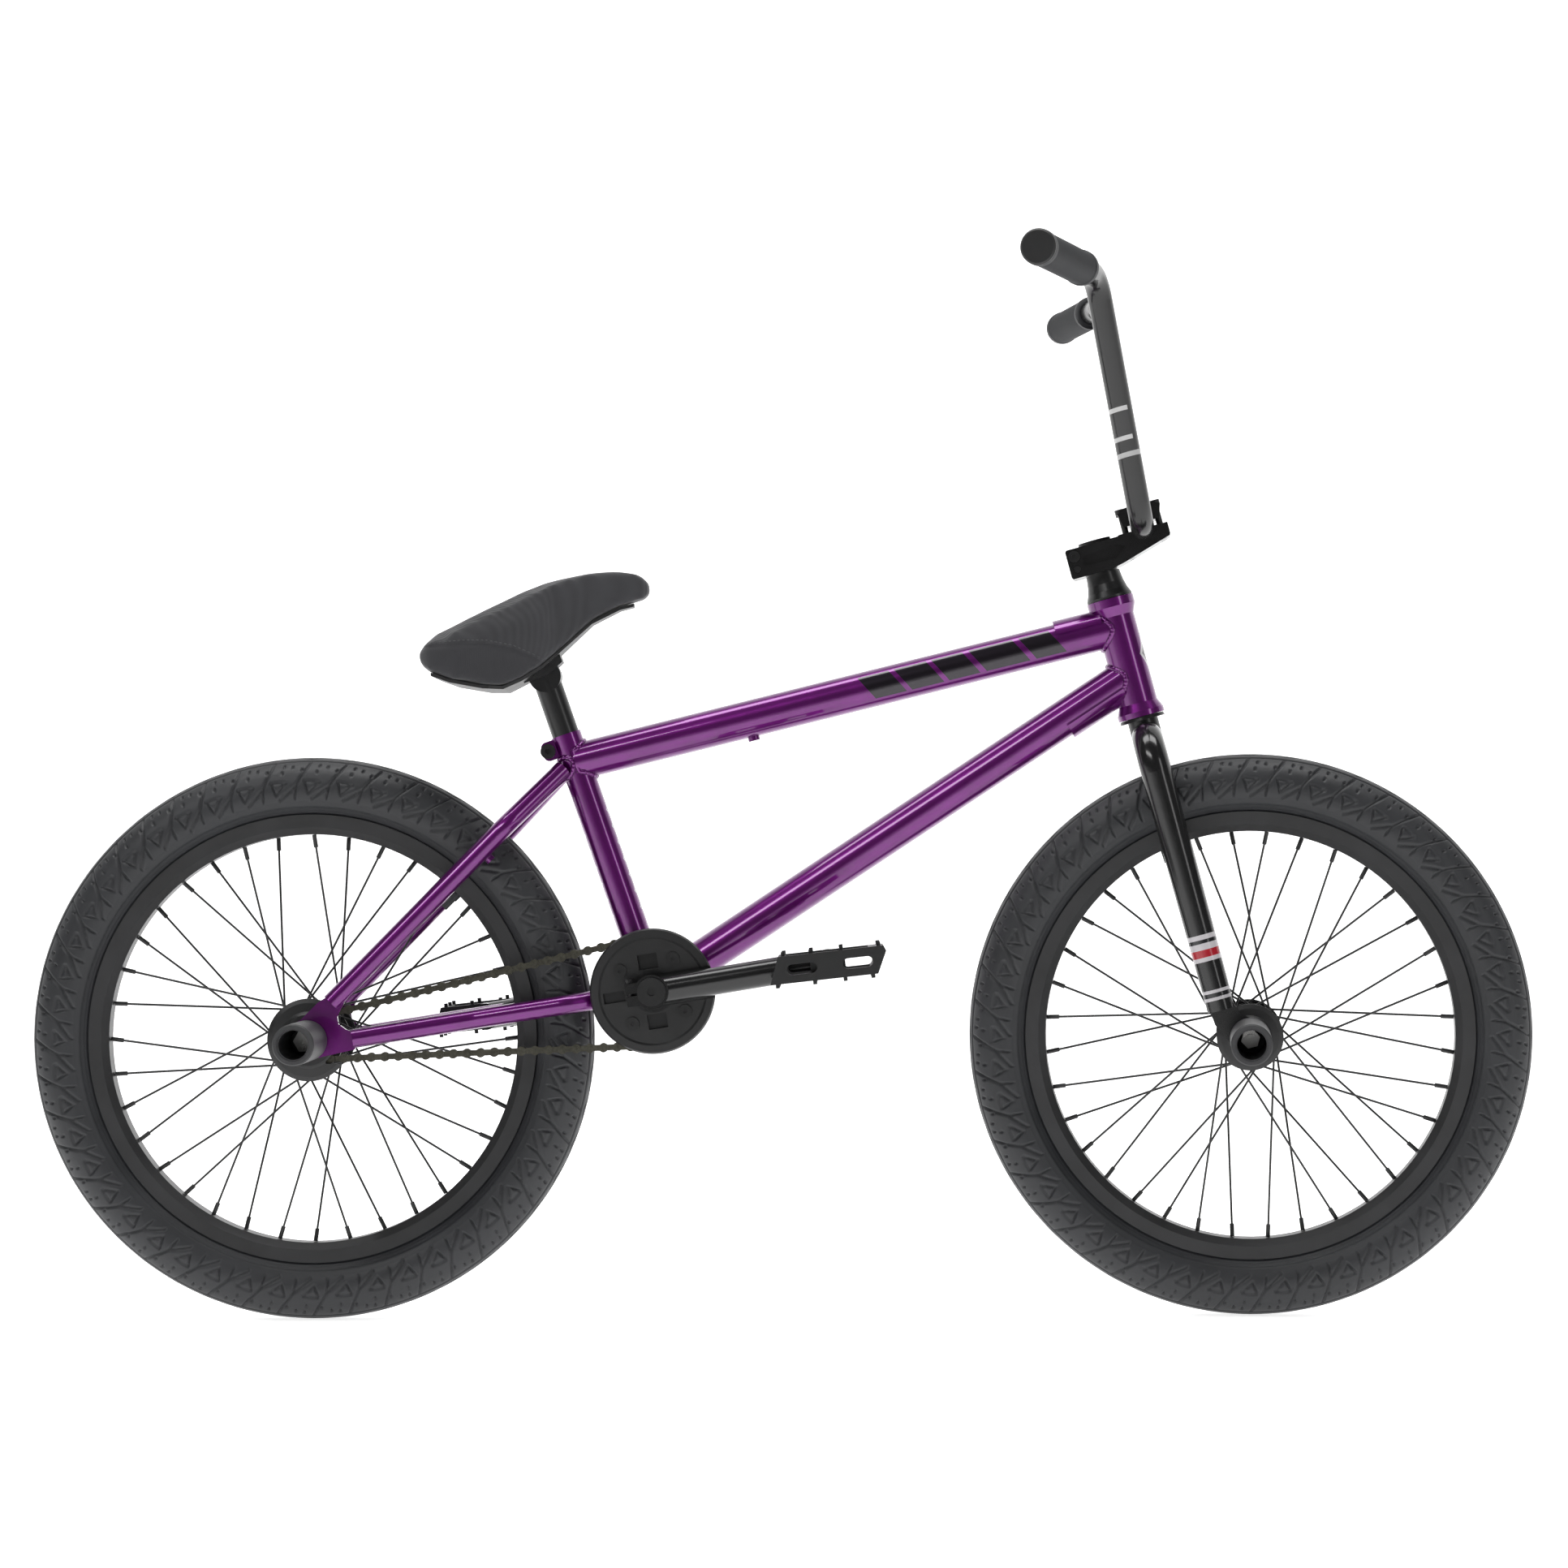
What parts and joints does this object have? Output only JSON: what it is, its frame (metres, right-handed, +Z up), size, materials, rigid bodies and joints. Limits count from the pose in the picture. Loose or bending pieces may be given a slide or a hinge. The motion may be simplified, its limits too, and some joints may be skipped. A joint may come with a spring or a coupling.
{
  "type": "bmx bike",
  "caption": "Small-wheeled stunt bike with a purple steel frame, tall handlebar, low padded seat, foot pegs, platform pedals and a single-speed chain drive.",
  "frame": {"origin": "on the ground, halfway between the axles along the bike and in the middle of its overall width", "axes": "+X forwards, +Y to the rider's left, +Z up; the chain is on the -Y side"},
  "size_m": [1.4021, 0.7128, 0.9844],
  "materials": {
    "frame_paint": "gloss translucent purple",
    "black_steel": "satin black",
    "black_aluminium": "black anodised",
    "bearing_steel": "ground",
    "spoke_steel": "black",
    "chain_steel": "dark oiled",
    "black_plastic": "moulded",
    "grip_rubber": "ribbed",
    "tube_rubber": "smooth",
    "tyre_rubber": "matte tread",
    "seat_fabric": "ribbed cover"
  },
  "bodies": {
    "frame": {"head_tube": "frame_paint", "top_tube": "frame_paint", "down_tube": "frame_paint", "seat_tube": "frame_paint", "bottom_bracket_shell": "frame_paint", "seat_stays": "frame_paint", "chain_stays": "frame_paint", "rear_dropouts": "frame_paint", "head_gussets": "frame_paint", "frame_fittings": "frame_paint", "seat_clamp_bolt": "black_steel", "headset_bearings": "bearing_steel", "bracket_bearings": "bearing_steel", "rear_axle": "bearing_steel", "rear_pegs": "black_plastic", "rear_hub_guards": "black_plastic", "chain_outer_links": "chain_steel", "chain_inner_links": "chain_steel"},
    "seat_post": {"seat_post": "black_steel", "seat_bolt": "bearing_steel"},
    "seat": {"seat_base": "black_plastic", "seat_cover": "seat_fabric"},
    "fork": {"fork_steerer": "black_steel", "fork_legs": "black_steel", "fork_dropouts": "black_steel", "headset_spacer": "black_steel", "stem_body": "black_aluminium", "stem_top_clamp": "black_aluminium", "stem_bolts": "black_steel", "compression_cap": "black_steel", "front_axle": "bearing_steel", "front_pegs": "black_plastic", "front_hub_guards": "black_plastic"},
    "handlebar": {"handlebar": "black_steel", "grips": "grip_rubber", "bar_end_plugs": "black_plastic"},
    "front_wheel": {"front_tyre": "tyre_rubber", "front_inner_tube": "tube_rubber", "front_rim": "black_aluminium", "front_spokes": "spoke_steel", "front_hub": "black_aluminium", "front_hub_bearings": "bearing_steel"},
    "rear_wheel": {"rear_tyre": "tyre_rubber", "rear_inner_tube": "tube_rubber", "rear_rim": "black_aluminium", "rear_spokes": "spoke_steel", "rear_hub": "black_aluminium", "rear_hub_bearings": "bearing_steel"},
    "driver": {"rear_driver": "chain_steel"},
    "crank": {"crank_spindle": "black_steel", "right_crank_arm": "black_steel", "left_crank_arm": "black_steel", "crank_bolts": "black_steel", "sprocket": "black_steel", "sprocket_guard": "black_plastic", "guard_bolts": "black_steel", "spindle_spacers": "black_aluminium", "pedal_axles": "bearing_steel"},
    "right_pedal": {"right_pedal": "black_plastic"},
    "left_pedal": {"left_pedal": "black_plastic"}
  },
  "joints": [
    {"name": "steering", "type": "hinge", "parent": "frame", "child": "fork", "pos_m": [0.33863, 0, 0.56153], "axis": [-0.2588, 0, 0.9659], "continuous": true},
    {"name": "handlebar_roll", "type": "hinge", "parent": "fork", "child": "handlebar", "pos_m": [0.33987, -0.00393, 0.73785], "axis": [0.0808, 0.9965, 0.0217], "range_deg": [-15, 15]},
    {"name": "front_wheel_spin", "type": "hinge", "parent": "fork", "child": "front_wheel", "pos_m": [0.43844, -0.00161, 0.26298], "axis": [0.0808, 0.9965, 0.0217], "continuous": true},
    {"name": "rear_wheel_spin", "type": "hinge", "parent": "frame", "child": "rear_wheel", "pos_m": [-0.4385, 0, 0.263], "axis": [0, 1, 0], "continuous": true},
    {"name": "crank_spin", "type": "hinge", "parent": "frame", "child": "crank", "pos_m": [-0.11933, 0, 0.307], "axis": [0, 1, 0], "continuous": true, "deforming": ["chain_outer_links", "chain_inner_links"]},
    {"name": "driver_spin", "type": "hinge", "parent": "frame", "child": "driver", "pos_m": [-0.4385, 0, 0.263], "axis": [0, 1, 0], "continuous": true},
    {"name": "right_pedal_spin", "type": "hinge", "parent": "crank", "child": "right_pedal", "pos_m": [0.04355, -0.13, 0.33338], "axis": [0, 1, 0], "continuous": true},
    {"name": "left_pedal_spin", "type": "hinge", "parent": "crank", "child": "left_pedal", "pos_m": [-0.28221, 0.13, 0.28062], "axis": [0, 1, 0], "continuous": true},
    {"name": "seat_post_height", "type": "slide", "parent": "frame", "child": "seat_post", "axis": [-0.3256, 0, 0.9455], "range_m": [-0.025, 0.035]},
    {"name": "seat_tilt", "type": "hinge", "parent": "seat_post", "child": "seat", "pos_m": [-0.22058, 0, 0.60106], "axis": [0, 1, 0], "range_deg": [-10, 10]}
  ],
  "couplings": [
    {"joint": "driver_spin", "follows": "crank_spin", "ratio": 2.7778}
  ]
}
